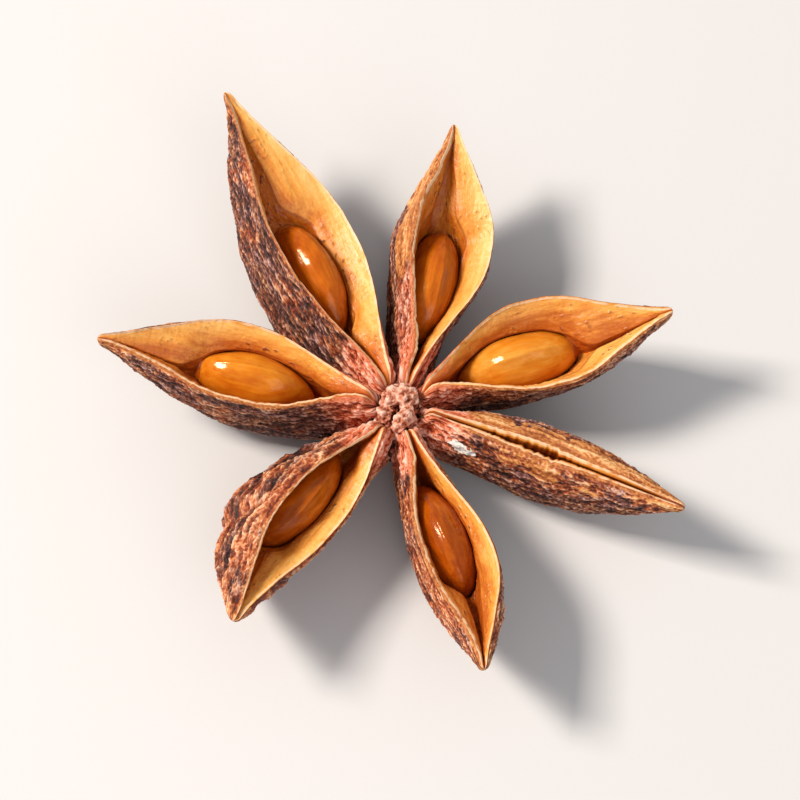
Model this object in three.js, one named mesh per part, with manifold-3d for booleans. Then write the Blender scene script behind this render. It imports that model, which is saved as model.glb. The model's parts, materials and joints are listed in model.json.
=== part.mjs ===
// A dried star anise pod: seven boat-shaped carpels grown onto one central column, with a
// short broken stalk under it. Six carpels have split open along the top, and a flattened
// seed lies in the pocket of each; the seventh is shut to a narrow slit.
//
// Millimetres and degrees, +Z up. The origin is the centre of the stalk's broken end, in the
// plane that the pod rests on, and the column stands on the Z axis.
import * as THREE from "three";
import { ImprovedNoise } from "three/addons/math/ImprovedNoise.js";
import { mergeVertices } from "three/addons/utils/BufferGeometryUtils.js";
import Module from "manifold-3d";

const { clamp, degToRad, lerp, smoothstep } = THREE.MathUtils;

// ---- Driving dimensions ----

// The carpels' walls.
const LIP_HEIGHT = 6.9; // height of a carpel's split edge beside the column
const LIP_ROOT = 2.0; // distance from the axis to a carpel's inner end, at the split edge
const KEEL_ROOT = 0.6; // and lower down, where the carpels grow together
const RIM = 0.45; // thickness of the wall at the split edge
const LEAST_WALL = 0.45; // thickness of the wall where it is thinnest
const SLIT = 0.12; // half the width of the crease in which the two walls meet
const CREASE_DEPTH = 0.52; // how deep that crease lies, as a share of the carpel's depth
const TROUGH_DEPTH = 0.36; // how deep the hollow turns steeply down, as a share of the crease's
const TROUGH_WIDTH = 0.45; // and how wide it is there, as a share of its width at the edge
const BELLY_HEIGHT = 0.42; // height of the widest line over the keel, as a share of the depth
const KEEL_ROUNDNESS = 0.55; // power of the curve from keel to belly: 0.5 would be an ellipse

// The unevenness of the dry bark.
const WRINKLE = 0.22; // depth of the wrinkles
const WRINKLE_LENGTH = 2.6; // spacing of the wrinkles along a carpel
const WRINKLE_WIDTH = 1.3; // and across it
const EDGE_WAVE = 0.25; // how far the split edge waves up and down
const EDGE_WAVE_LENGTH = 2.2; // and how far apart its waves lie

// The seeds.
const SEED_LENGTH = 7.8;
const SEED_DEPTH = 4.9;
const SEED_THICKNESS = 3.4;
const SEED_EDGE = 1.85; // power of a seed's section: 2 is an ellipse, less brings out its edge
const SEED_TAPER = 0.12; // how much slimmer a seed's outer end is than its inner end
const SEED_GAP = 0.22; // room between a seed and its pocket
const SEED_LIFT = 1.0; // height of a seed's middle over the crease

// The column, as radius and height: the stalk's broken end, the thick part that the carpels
// grow from, and the uneven head in the middle of the pod.
const COLUMN_PROFILE = [
  [0, 0], [1.3, 0], [1.15, 0.7], [1.5, 1.6], [2.2, 2.6], [2.5, 3.8],
  [1.9, 4.9], [1.25, 5.6], [1.15, 6.3], [1.4, 6.9], [1.0, 7.5], [0, 7.4],
];
const HEAD_HEIGHT = 5.6; // above this the column is lobed, one lobe to a carpel
const HEAD_LOBE = 0.1; // height of a lobe, as a share of the radius
const COLUMN_ROUGHNESS = 0.14; // unevenness, as a share of the radius

// How finely the surfaces are divided.
const STATIONS = 18; // sections along a carpel
const SKIN_POINTS = 13; // points across each section's outer skin, and as many inside
const COLUMN_SIDES = 28;
const SEED_SIDES = 16;
const SEED_RINGS = 12;

// Each carpel, going round the column: direction of its tip, distance of the tip from the axis
// and its height, full width between the split edges, full width and depth of its body, roll,
// bow and sway towards the anticlockwise side, the share of its length at which it is widest,
// how blunt its outer end is, and how far out its seed lies.
const CARPELS = [
  {
    name: "1", azimuth: 79.4, reach: 18.9, tip: 8.3, gape: 5.4, girth: 4.8, depth: 7.3,
    roll: -17, bow: -1.2, sway: 0.15, widest: 0.64, blunt: 1.1, seedAt: 8.9,
  },
  {
    name: "2", azimuth: 18.1, reach: 18.0, tip: 8.4, gape: 6.0, girth: 4.7, depth: 7.05,
    roll: -7, bow: 1.05, sway: 0.25, widest: 0.57, blunt: 1.1, seedAt: 8.2,
  },
  {
    name: "3", azimuth: -23.2, reach: 19.2, tip: 7.7, gape: 1.4, girth: 4.5, depth: 7.0,
    roll: -9, bow: 0.4, sway: 0, widest: 0.52, blunt: 1.1, seedAt: null,
  },
  {
    name: "4", azimuth: -74.2, reach: 19.1, tip: 7.9, gape: 4.4, girth: 4.6, depth: 7.1,
    roll: 1, bow: 0.6, sway: -0.3, widest: 0.6, blunt: 1.1, seedAt: 8.8,
  },
  {
    name: "5", azimuth: -123.5, reach: 18.3, tip: 7.95, gape: 4.1, girth: 5.2, depth: 7.4,
    roll: 34, bow: -0.45, sway: 0.2, widest: 0.54, blunt: 1.45, seedAt: 8.3,
  },
  {
    name: "6", azimuth: 168.9, reach: 19.3, tip: 8.4, gape: 5.4, girth: 4.95, depth: 6.95,
    roll: 1, bow: -0.6, sway: 0.15, widest: 0.56, blunt: 1.1, seedAt: 9.4,
  },
  {
    name: "7", azimuth: 118.6, reach: 22.8, tip: 9.3, gape: 5.7, girth: 5.5, depth: 7.3,
    roll: -21, bow: -0.65, sway: 0.1, widest: 0.58, blunt: 1.1, seedAt: 10.8,
  },
];

// How a carpel changes from its inner end (0) to the tip of its beak (1), as shares of its own
// gape, girth, depth, hollow, rise and roll.
const GAPE_ALONG = eased(
  [0, 0.17], [0.1, 0.47], [0.2, 0.76], [0.3, 0.95], [0.4, 1], [0.5, 0.97],
  [0.6, 0.83], [0.7, 0.6], [0.8, 0.4], [0.9, 0.2], [1, 0.06],
);
const GIRTH_ALONG = eased(
  [0, 0.38], [0.14, 0.66], [0.3, 0.9], [0.48, 1], [0.64, 0.86], [0.8, 0.55], [0.92, 0.26], [1, 0.1],
);
const DEPTH_ALONG = eased(
  [0, 0.66], [0.15, 0.88], [0.38, 1], [0.6, 0.86], [0.76, 0.58], [0.88, 0.33], [1, 0.1],
);
const HOLLOW_ALONG = eased([0, 0.12], [0.1, 0.5], [0.22, 1], [0.74, 1], [0.88, 0.85], [1, 0.3]);
const RISE_ALONG = eased([0, 0], [0.3, -0.12], [0.6, 0.1], [0.85, 0.6], [1, 1]);
const ROLL_ALONG = eased([0, 0], [0.12, 0.3], [0.35, 1], [1, 1]);

// ---- Helpers ----

// A smooth curve through points of [place, value].
function eased(...points) {
  const slopes = points.map((_, i) => {
    const [fromPlace, fromValue] = points[Math.max(0, i - 1)];
    const [toPlace, toValue] = points[Math.min(points.length - 1, i + 1)];
    return (toValue - fromValue) / (toPlace - fromPlace);
  });
  return (place) => {
    const next = Math.max(1, points.findIndex(([at]) => at >= place));
    const [fromPlace, fromValue] = points[next - 1];
    const [toPlace, toValue] = points[next];
    const span = toPlace - fromPlace;
    const t = clamp((place - fromPlace) / span, 0, 1);
    const rise = t * t * (3 - 2 * t);
    return (
      lerp(fromValue, toValue, rise) +
      span * (t * (1 - t) * (1 - t) * slopes[next - 1] - t * t * (1 - t) * slopes[next])
    );
  };
}

const perlin = new ImprovedNoise();

// Uneven values from about -1 to 1, which differ from one carpel to the next.
function uneven(carpel, a, b, c) {
  return perlin.noise(a + 17.3 * Number(carpel.name), b, c);
}

function fromTriangles(positions, triangles) {
  const geometry = new THREE.BufferGeometry();
  geometry.setAttribute("position", new THREE.Float32BufferAttribute(positions, 3));
  geometry.setIndex(triangles);
  return geometry;
}

// Moves each point of a geometry to where a function of the point puts it.
function reshape(geometry, move) {
  const points = geometry.getAttribute("position");
  const point = new THREE.Vector3();
  for (let i = 0; i < points.count; i++) {
    move(point.fromBufferAttribute(points, i));
    points.setXYZ(i, point.x, point.y, point.z);
  }
  return geometry;
}

// ---- Carpels ----

function lipHeight(carpel, along) {
  return LIP_HEIGHT + (carpel.tip - LIP_HEIGHT) * RISE_ALONG(along);
}

function depthAt(carpel, along) {
  return carpel.depth * DEPTH_ALONG(Math.pow(along, carpel.blunt));
}

// Where a point of a carpel's own frame lies: out along it, across it to the anticlockwise
// side, and below the line midway between its split edges, about which it is rolled.
function placed(carpel, out, across, below) {
  const along = clamp(out / carpel.reach, 0, 1);
  const roll = degToRad(carpel.roll) * ROLL_ALONG(along);
  const bow =
    carpel.bow * Math.sin(Math.PI * along) + carpel.sway * Math.sin(2 * Math.PI * along);
  const side = across * Math.cos(roll) - below * Math.sin(roll) + bow;
  const height = lipHeight(carpel, along) - below * Math.cos(roll) - across * Math.sin(roll);
  const axis = new THREE.Vector3(0, 0, 1);
  return new THREE.Vector3(out, side, height).applyAxisAngle(axis, degToRad(carpel.azimuth));
}

// How far out a section's point lies: the inner end of a carpel leans away from the column's
// head, which leaves a moat round it.
function outAt(carpel, along, share) {
  const root = lerp(KEEL_ROOT, LIP_ROOT, smoothstep(share, 0.5, 0.95));
  return lerp(root, carpel.reach, along);
}

// Half the outer width of a carpel at a share of its height, from 0 at the keel to 1 at the
// split edge. A shut carpel is rounded over towards its edges, and an open one flares.
function outerHalfWidth(carpel, along, share) {
  const place = Math.pow(along, Math.log(0.5) / Math.log(carpel.widest));
  const belly = (carpel.girth / 2) * GIRTH_ALONG(place);
  const lips = Math.max((carpel.gape / 2) * GAPE_ALONG(place), RIM * GIRTH_ALONG(place));
  const below = 1 - Math.min(share / BELLY_HEIGHT, 1);
  const above = Math.max(share - BELLY_HEIGHT, 0) / (1 - BELLY_HEIGHT);
  const turned = belly > lips ? 1 - Math.sqrt(1 - above * above) : smoothstep(above, 0, 1);
  return Math.pow(1 - below * below, KEEL_ROUNDNESS) * lerp(belly, lips, turned);
}

// Half the inner width at a share of the height: a slope from the rim down to a steeper
// trough, kept inside the outer skin. It has fallen 0 at the rim and 1 at the crease.
function innerHalfWidth(carpel, along, share, fallen) {
  const atRim = Math.max(outerHalfWidth(carpel, along, 1) - RIM, SLIT);
  const slope = lerp(atRim, atRim * TROUGH_WIDTH, fallen / TROUGH_DEPTH);
  const trough = atRim * TROUGH_WIDTH * Math.sqrt(1 - fallen * fallen);
  const most = outerHalfWidth(carpel, along, share) - LEAST_WALL;
  return Math.max(Math.min(Math.max(slope, trough, SLIT), most), SLIT * (1 - fallen));
}

// How far the split edge lies over or under its smooth line, on one side of a carpel.
function edgeWave(carpel, along, side) {
  const place = (carpel.reach * along) / EDGE_WAVE_LENGTH;
  return EDGE_WAVE * GAPE_ALONG(along) * uneven(carpel, place, side * 2, 5.5);
}

// How far the bark stands out in wrinkles, which die away at the split edge and the beak.
function wrinkle(carpel, along, height, side) {
  const place = (carpel.reach * along) / WRINKLE_LENGTH;
  const fade = Math.min(1, 1.4 * GIRTH_ALONG(along)) * (1 - Math.pow(height, 6));
  const level = (height * depthAt(carpel, along)) / WRINKLE_WIDTH;
  return WRINKLE * fade * uneven(carpel, place, level, side * 3.1);
}

// One section of a carpel as a closed ring of points: its outer skin from one split edge round
// the keel to the other, then its inner skin back again.
function section(carpel, along) {
  const depth = depthAt(carpel, along);
  const hollow = CREASE_DEPTH * HOLLOW_ALONG(along);
  const outer = [];
  const inner = [];
  for (let i = 0; i < SKIN_POINTS; i++) {
    const place = (2 * i) / (SKIN_POINTS - 1) - 1;
    const side = Math.sign(place);
    const span = Math.abs(place);
    const wave = edgeWave(carpel, along, side);

    const share = Math.pow(span, 1.6);
    const bump = wrinkle(carpel, along, share, side);
    const width = outerHalfWidth(carpel, along, share) + bump;
    const keel = side === 0 ? bump : 0;
    const below = depth * (1 - share) + keel - wave * Math.pow(share, 4);
    outer.push(placed(carpel, outAt(carpel, along, share), side * width, below));

    const fallen = 1 - Math.pow(span, 1.15);
    const innerShare = 1 - hollow * fallen;
    const innerWidth = innerHalfWidth(carpel, along, innerShare, fallen);
    const innerBelow = depth * (1 - innerShare) - wave * Math.pow(span, 4);
    inner.push(placed(carpel, outAt(carpel, along, innerShare), side * innerWidth, innerBelow));
  }
  return [...outer, ...inner.reverse()];
}

// A carpel's closed shell: its sections joined one to the next, with each end closed as a band
// between the outer and the inner skin.
function carpelGeometry(carpel) {
  const positions = [];
  const triangles = [];
  const ring = 2 * SKIN_POINTS;
  for (let i = 0; i <= STATIONS; i++) {
    for (const point of section(carpel, i / STATIONS)) positions.push(...point);
  }
  for (let i = 0; i < STATIONS; i++) {
    for (let j = 0; j < ring; j++) {
      const a = i * ring + j;
      const b = i * ring + ((j + 1) % ring);
      triangles.push(a, b, a + ring, b, b + ring, a + ring);
    }
  }
  const tip = STATIONS * ring;
  for (let k = 0; k < SKIN_POINTS - 1; k++) {
    const [a, b, c, d] = [k, k + 1, ring - 2 - k, ring - 1 - k];
    triangles.push(a, c, b, a, d, c);
    triangles.push(tip + a, tip + b, tip + c, tip + a, tip + c, tip + d);
  }
  return fromTriangles(positions, triangles);
}

// ---- Column ----

function columnGeometry() {
  const profile = COLUMN_PROFILE.map(([radius, height]) => new THREE.Vector2(radius, height));
  const geometry = new THREE.LatheGeometry(profile, COLUMN_SIDES).rotateX(Math.PI / 2);
  return reshape(geometry, (point) => {
    if (point.z === 0) return;
    const angle = Math.atan2(point.y, point.x);
    const lobe = point.z > HEAD_HEIGHT ? HEAD_LOBE * Math.cos(CARPELS.length * angle) : 0;
    const rough = COLUMN_ROUGHNESS * perlin.noise(2.2 * point.x, 2.2 * point.y, 0.9 * point.z);
    point.x *= 1 + lobe + rough;
    point.y *= 1 + lobe + rough;
  });
}

// ---- Seeds ----

// A seed in its own frame: long along X and thin along Y, with a blunt edge above and below.
// Grown by a margin, it is also the shape of its pocket.
function seedGeometry(margin) {
  const geometry = new THREE.SphereGeometry(1, SEED_SIDES, SEED_RINGS).rotateZ(Math.PI / 2);
  return reshape(geometry, (point) => {
    const ring = Math.hypot(point.y, point.z);
    const turn = Math.atan2(Math.abs(point.z), Math.abs(point.y));
    const edged = Math.pow(Math.cos(turn), SEED_EDGE) + Math.pow(Math.sin(turn), SEED_EDGE);
    const size = ring > 0 ? Math.pow(edged, -1 / SEED_EDGE) * (1 - SEED_TAPER * point.x) : 1;
    point.x *= SEED_LENGTH / 2 + margin;
    point.y *= size * (SEED_THICKNESS / 2 + margin);
    point.z *= size * (SEED_DEPTH / 2 + margin);
  });
}

// Puts an object's frame where a carpel's seed lies, leaning with the carpel.
function placeInCarpel(object, carpel) {
  const along = carpel.seedAt / carpel.reach;
  const below = depthAt(carpel, along) * CREASE_DEPTH - SEED_LIFT;
  const middle = placed(carpel, carpel.seedAt, 0, below);
  const ahead = placed(carpel, carpel.seedAt + 1, 0, below).sub(middle).normalize();
  const above = placed(carpel, carpel.seedAt, 0, below - 1).sub(middle).normalize();
  const beside = new THREE.Vector3().crossVectors(above, ahead).normalize();
  const upright = new THREE.Vector3().crossVectors(ahead, beside);
  object.position.copy(middle);
  object.quaternion.setFromRotationMatrix(new THREE.Matrix4().makeBasis(ahead, beside, upright));
  object.updateMatrix();
  return object;
}

// ---- Joining ----

const wasm = await Module();
wasm.setup();

function solid(geometry) {
  const bare = geometry.clone();
  bare.deleteAttribute("normal");
  bare.deleteAttribute("uv");
  const merged = mergeVertices(bare, 1e-4);
  return new wasm.Manifold(
    new wasm.Mesh({
      numProp: 3,
      vertProperties: Float32Array.from(merged.getAttribute("position").array),
      triVerts: Uint32Array.from(merged.index.array),
    }),
  );
}

function geometryOf(manifold) {
  const mesh = manifold.getMesh();
  const geometry = fromTriangles(Array.from(mesh.vertProperties), Array.from(mesh.triVerts));
  geometry.computeVertexNormals();
  return geometry;
}

// The husk: the column and the carpels, each with its seed's pocket cut out, in one piece,
// trimmed to the plane that it rests on.
function huskGeometry() {
  let husk = solid(columnGeometry());
  for (const carpel of CARPELS) {
    let shell = solid(carpelGeometry(carpel));
    if (carpel.seedAt !== null) {
      const { matrix } = placeInCarpel(new THREE.Object3D(), carpel);
      shell = shell.subtract(solid(seedGeometry(SEED_GAP).applyMatrix4(matrix)));
    }
    husk = husk.add(shell);
  }
  const trimmed = 2;
  const width = 60;
  const ground = new THREE.BoxGeometry(width, width, trimmed).translate(0, 0, -trimmed / 2);
  return geometryOf(husk.subtract(solid(ground)));
}

// ---- The pod ----

const bark = new THREE.MeshStandardMaterial({ color: "#8a4a2c", roughness: 0.85, metalness: 0 });
const seedCoat = new THREE.MeshStandardMaterial({ color: "#b8651a", roughness: 0.25, metalness: 0 });

const pod = new THREE.Group();

const husk = new THREE.Mesh(huskGeometry(), bark);
husk.name = "husk";
pod.add(husk);

for (const carpel of CARPELS.filter(({ seedAt }) => seedAt !== null)) {
  const seed = new THREE.Mesh(seedGeometry(0), seedCoat.clone());
  seed.name = `seed_${carpel.name}`;
  pod.add(placeInCarpel(seed, carpel));
}

export default pod;
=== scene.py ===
"""A dried star anise pod: seven boat-shaped carpels round a column, six open with a seed each."""

import itertools
import json
import logging
import math
from dataclasses import dataclass
from enum import Enum
from typing import Any, Sequence

import bmesh
import bpy
import numpy as np
from mathutils import Matrix, Vector

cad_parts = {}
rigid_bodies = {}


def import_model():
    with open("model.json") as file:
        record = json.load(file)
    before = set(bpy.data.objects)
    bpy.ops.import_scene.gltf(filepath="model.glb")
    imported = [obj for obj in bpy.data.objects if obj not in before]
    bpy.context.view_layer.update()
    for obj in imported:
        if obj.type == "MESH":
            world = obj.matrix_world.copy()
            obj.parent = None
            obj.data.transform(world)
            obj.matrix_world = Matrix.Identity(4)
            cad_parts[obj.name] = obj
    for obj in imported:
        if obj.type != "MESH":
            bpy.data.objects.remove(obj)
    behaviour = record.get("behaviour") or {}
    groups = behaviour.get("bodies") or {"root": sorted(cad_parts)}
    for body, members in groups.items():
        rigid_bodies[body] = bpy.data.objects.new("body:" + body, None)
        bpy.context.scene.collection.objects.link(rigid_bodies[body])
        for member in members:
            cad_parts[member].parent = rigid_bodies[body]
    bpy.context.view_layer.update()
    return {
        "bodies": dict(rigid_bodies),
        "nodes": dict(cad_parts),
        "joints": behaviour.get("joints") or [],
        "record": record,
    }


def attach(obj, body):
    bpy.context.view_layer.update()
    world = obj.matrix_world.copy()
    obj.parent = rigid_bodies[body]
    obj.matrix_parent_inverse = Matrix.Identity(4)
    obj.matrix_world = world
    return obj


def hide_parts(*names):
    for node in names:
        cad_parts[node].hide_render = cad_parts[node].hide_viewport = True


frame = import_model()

MM = 0.001
TINY = 1e-9  # the least length that anything is divided by
LOG = logging.getLogger("star_anise")

Array = np.ndarray
Socket = bpy.types.NodeSocket


# ---- Values that change along a carpel ----


@dataclass(frozen=True)
class Eased:
    """A smooth curve through points of (place, value)."""

    points: tuple[tuple[float, float], ...]

    def __call__(self, place: Array) -> Array:
        """Read the curve.

        Args:
            place: Where to read it.

        Returns:
            The curve's value at each place.
        """
        at, value = np.array(self.points).T
        after = np.minimum(np.arange(len(at)) + 1, len(at) - 1)
        before = np.maximum(np.arange(len(at)) - 1, 0)
        slope = (value[after] - value[before]) / (at[after] - at[before])
        i = np.clip(np.searchsorted(at, place) - 1, 0, len(at) - 2)
        span = at[i + 1] - at[i]
        t = np.clip((place - at[i]) / span, 0, 1)
        rise = t * t * (3 - 2 * t)
        bend = t * (1 - t) ** 2 * slope[i] - t * t * (1 - t) * slope[i + 1]
        return value[i] + (value[i + 1] - value[i]) * rise + span * bend


# Shares along a carpel, from the column to the beak: the split's width, the belly's width, the
# depth, the crease's depth, the split edge's rise to the beak, and the roll.
GAPE = Eased((
    (0, 0.17), (0.1, 0.47), (0.2, 0.76), (0.3, 0.95), (0.4, 1), (0.5, 0.97),
    (0.6, 0.83), (0.7, 0.6), (0.8, 0.4), (0.9, 0.2), (1, 0.06),
))
GIRTH = Eased((
    (0, 0.38), (0.14, 0.66), (0.3, 0.9), (0.48, 1), (0.64, 0.86), (0.8, 0.55), (0.92, 0.26),
    (1, 0.1),
))
DEPTH = Eased((
    (0, 0.66), (0.15, 0.88), (0.38, 1), (0.6, 0.86), (0.76, 0.58), (0.88, 0.33), (1, 0.1),
))
HOLLOW = Eased(((0, 0.12), (0.1, 0.5), (0.22, 1), (0.74, 1), (0.88, 0.85), (1, 0.3)))
RISE = Eased(((0, 0), (0.3, -0.12), (0.6, 0.1), (0.85, 0.6), (1, 1)))
ROLL = Eased(((0, 0), (0.12, 0.3), (0.35, 1), (1, 1)))


def smoothstep(value: Array, low: float, high: float) -> Array:
    """Ease a value from 0 at low to 1 at high."""
    t = np.clip((value - low) / (high - low), 0, 1)
    return t * t * (3 - 2 * t)


def lerp(start: Any, end: Any, share: Any) -> Any:
    """Blend from start to end."""
    return start + (end - start) * share


def within(value: Array, low: float, high: float, soft: float) -> Array:
    """Return 1 between low and high, easing to 0 over a soft width outside them."""
    return smoothstep(value, low - soft, low) * (1 - smoothstep(value, high, high + soft))


@dataclass(frozen=True)
class Grain:
    """Smooth random relief in space, the same on every run."""

    seed: int
    lump: tuple[float, float, float]  # the lumps' size in mm along, across and down a carpel
    slopes: int = 256  # how many random slopes it picks from, a power of two
    spread: float = 1.7  # what brings its values out to about -1 and 1

    def read(self, places: Array) -> Array:
        """Read the relief.

        Args:
            places: Points in millimetres.

        Returns:
            One value for each point, from about -1 to 1.
        """
        random = np.random.default_rng(self.seed)
        slopes = random.normal(size=(self.slopes, 3))
        slopes /= np.linalg.norm(slopes, axis=1, keepdims=True)
        mixed = np.tile(random.permutation(self.slopes), 2)
        spots = places / np.array(self.lump)
        cell = np.floor(spots).astype(int)
        inside = spots - cell
        ease = inside**3 * (inside * (inside * 6 - 15) + 10)
        total = np.zeros(spots.shape[:-1])
        for corner in itertools.product((0, 1), repeat=3):
            x, y, z = np.moveaxis((cell + corner) & (self.slopes - 1), -1, 0)
            slope = slopes[mixed[mixed[mixed[x] + y] + z]]
            share = np.prod(np.where(corner, ease, 1 - ease), axis=-1)
            total += share * np.sum(slope * (inside - corner), axis=-1)
        return self.spread * total

    def crests(self, places: Array) -> Array:
        """Return sharp crests between round hollows, from 0 to 1."""
        return (1 - np.minimum(np.abs(self.read(places)), 1)) ** 2


# ---- Materials ----


def linear(code: str) -> tuple[float, float, float, float]:
    """Turn an sRGB hex colour into a linear one.

    Args:
        code: The colour, such as "#c8701f".

    Returns:
        Its linear red, green, blue and alpha.
    """
    parts = [int(code[i : i + 2], 16) / 255 for i in (1, 3, 5)]
    red, green, blue = [p / 12.92 if p <= 0.04045 else ((p + 0.055) / 1.055) ** 2.4 for p in parts]
    return red, green, blue, 1.0


def add(
    tree: bpy.types.NodeTree,
    kind: str,
    sockets: dict[str | int, Any] | None = None,
    out: str | int = 0,
    stops: Sequence[tuple[float, str]] = (),
    **settings: Any,
) -> Socket:
    """Add a node with its settings and links.

    Args:
        tree: The node tree to add it to.
        kind: The node's type, without its "ShaderNode" prefix.
        sockets: A value, a hex colour or another node's output for each input socket.
        out: Which of its outputs to return.
        stops: Places and hex colours of a colour ramp.
        settings: The node's own properties.

    Returns:
        One of the new node's outputs.
    """
    node = tree.nodes.new("ShaderNode" + kind)
    for name, value in settings.items():
        setattr(node, name, value)
    for socket, value in (sockets or {}).items():
        if isinstance(value, bpy.types.NodeSocket):
            tree.links.new(value, node.inputs[socket])
        else:
            node.inputs[socket].default_value = linear(value) if isinstance(value, str) else value
    if stops:
        elements = node.color_ramp.elements
        while len(elements) < len(stops):
            elements.new(1.0)
        for element, (place, code) in zip(elements, stops):
            element.position = place
            element.color = linear(code)
    return node.outputs[out]


@dataclass(frozen=True)
class Layer:
    """A colour that covers those under it where a value passes from low to high."""

    colour: Socket | str
    value: Socket
    low: float
    high: float
    most: float = 1.0  # how much of it shows at the high value and past it


@dataclass(frozen=True)
class Finish:
    """A surface finish, made as a node material."""

    name: str

    def material(self) -> bpy.types.Material:
        """Make this finish's material the first time that it is asked for.

        Returns:
            The material.
        """
        found = bpy.data.materials.get(self.name)
        if found is not None:
            return found
        material = bpy.data.materials.new(self.name)
        material.use_nodes = True
        tree = material.node_tree
        tree.nodes.clear()
        end = tree.nodes.new("ShaderNodeOutputMaterial")
        tree.links.new(self.shader(tree), end.inputs["Surface"])
        return material

    def shader(self, tree: bpy.types.NodeTree) -> Socket:
        """Build the finish's nodes and return its shader."""
        raise NotImplementedError

    def grains(
        self, tree: bpy.types.NodeTree, size: float, stretch: float = 1.0, detail: float = 2.0
    ) -> Socket:
        """Return a noise pattern in the carpel's own straightened millimetres.

        Args:
            tree: The node tree.
            size: How far apart its lumps are, in millimetres.
            stretch: How many times longer than wide they are, along the carpel.
            detail: How many finer layers it has.

        Returns:
            The pattern, about 0.2 to 0.8.
        """
        spot = add(tree, "Attribute", out="Vector", attribute_name="grain")
        place = add(tree, "Mapping", {"Vector": spot, "Scale": (1 / stretch, 1.0, 1.0)})
        sockets = {"Vector": place, "Scale": 1 / size, "Detail": detail, "Roughness": 0.6}
        return add(tree, "TexNoise", sockets)

    def weighed(
        self, tree: bpy.types.NodeTree, start: float, *parts: tuple[Socket, float]
    ) -> Socket:
        """Add up some values, each with its weight.

        Args:
            tree: The node tree.
            start: What the sum starts from.
            parts: Each value with its weight.

        Returns:
            The sum.
        """
        total: Any = start
        for value, weight in parts:
            total = add(tree, "Math", {0: value, 1: weight, 2: total}, operation="MULTIPLY_ADD")
        return total

    def layered(self, tree: bpy.types.NodeTree, base: Socket | str, *layers: Layer) -> Socket:
        """Lay colours over a base colour.

        Args:
            tree: The node tree.
            base: The lowest colour.
            layers: The colours over it, from the lowest up.

        Returns:
            The colour that shows.
        """
        colour: Any = base
        for layer in layers:
            sockets = {
                "Value": layer.value,
                "From Min": layer.low,
                "From Max": layer.high,
                "To Max": layer.most,
            }
            share = add(tree, "MapRange", sockets, interpolation_type="SMOOTHSTEP")
            blend = {0: share, 6: colour, 7: layer.colour}
            colour = add(tree, "Mix", blend, out=2, data_type="RGBA")
        return colour


@dataclass(frozen=True)
class DriedBark(Finish):
    """The fruit wall's dry, wrinkled skin.

    Drying drew it into fine crests along the carpel, dull purple brown, painted darker in the pits
    as painted shade and paler tan on the crests as painted sheen, with rust where the outer skin
    has rubbed off, and corky red at the column.
    """

    name: str = "dried_fruit_skin"

    def shader(self, tree: bpy.types.NodeTree) -> Socket:
        """Build the finish's nodes.

        Args:
            tree: The material's node tree.

        Returns:
            The shader.
        """
        crest, rust, band, root, tip, rim, flake = (
            add(tree, "Attribute", out="Fac", attribute_name=name)
            for name in ("crest", "rust", "band", "root", "tip", "rim", "flake")
        )
        fine = self.grains(tree, size=0.12, stretch=1.6)
        mid = self.grains(tree, size=0.24, stretch=4.5, detail=3.0)
        broad = self.grains(tree, size=1.5, stretch=1.5, detail=3.0)
        height = self.weighed(tree, -0.4, (crest, 0.75), (fine, 0.6), (mid, 0.45))
        # Where the colours stand, from the pits to the crests: the dark pits are painted shade and
        # the pale crests painted sheen.
        usual, lower = (0.15, 0.34, 0.5, 0.66, 0.85), (0.12, 0.3, 0.45, 0.62, 0.82)
        dark, brown, rusty, corky, golden = (
            add(tree, "ValToRGB", {"Fac": height}, stops=tuple(zip(heights, colours)))
            for heights, colours in (
                (usual, ("#160706", "#331613", "#58302b", "#8a5c56", "#cda59f")),
                (usual, ("#1d0a04", "#471e0e", "#703a24", "#9f6442", "#d6a67e")),
                (usual, ("#4a1507", "#7e2f0e", "#a64e24", "#d28352", "#f4c39c")),
                (lower, ("#561407", "#9c3818", "#c96239", "#e29070", "#f8c6b2")),
                (usual, ("#43190a", "#88431a", "#b4682f", "#d79252", "#f1c58d")),
            )
        )
        colour = self.layered(
            tree,
            dark,
            Layer(brown, self.weighed(tree, 0.0, (broad, 0.6), (mid, 0.6)), 0.5, 0.72),
            Layer(rusty, self.weighed(tree, 0.0, (rust, 0.8), (mid, 0.9)), 0.5, 1.1, 0.9),
            Layer(golden, self.weighed(tree, 0.0, (band, 1.0), (mid, 0.6)), 0.6, 1.1, 0.9),
            Layer(corky, self.weighed(tree, 0.0, (root, 1.0), (mid, 0.5)), 0.5, 0.95),
            Layer(golden, self.weighed(tree, 0.0, (tip, 1.0), (mid, 0.5)), 0.85, 1.35, 0.7),
            Layer("#edc09a", self.weighed(tree, 0.0, (rim, 1.0), (fine, 0.5)), 0.6, 1.0, 0.95),
            Layer("#ece6e1", flake, 0.3, 0.7),
        )
        bump = add(tree, "Bump", {"Height": height, "Strength": 0.9, "Distance": 0.09 * MM})
        rough = self.weighed(tree, 0.78, (fine, -0.3))
        return add(tree, "BsdfPrincipled", {
            "Base Color": colour, "Roughness": rough, "Specular IOR Level": 0.4, "Normal": bump,
        })


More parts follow.
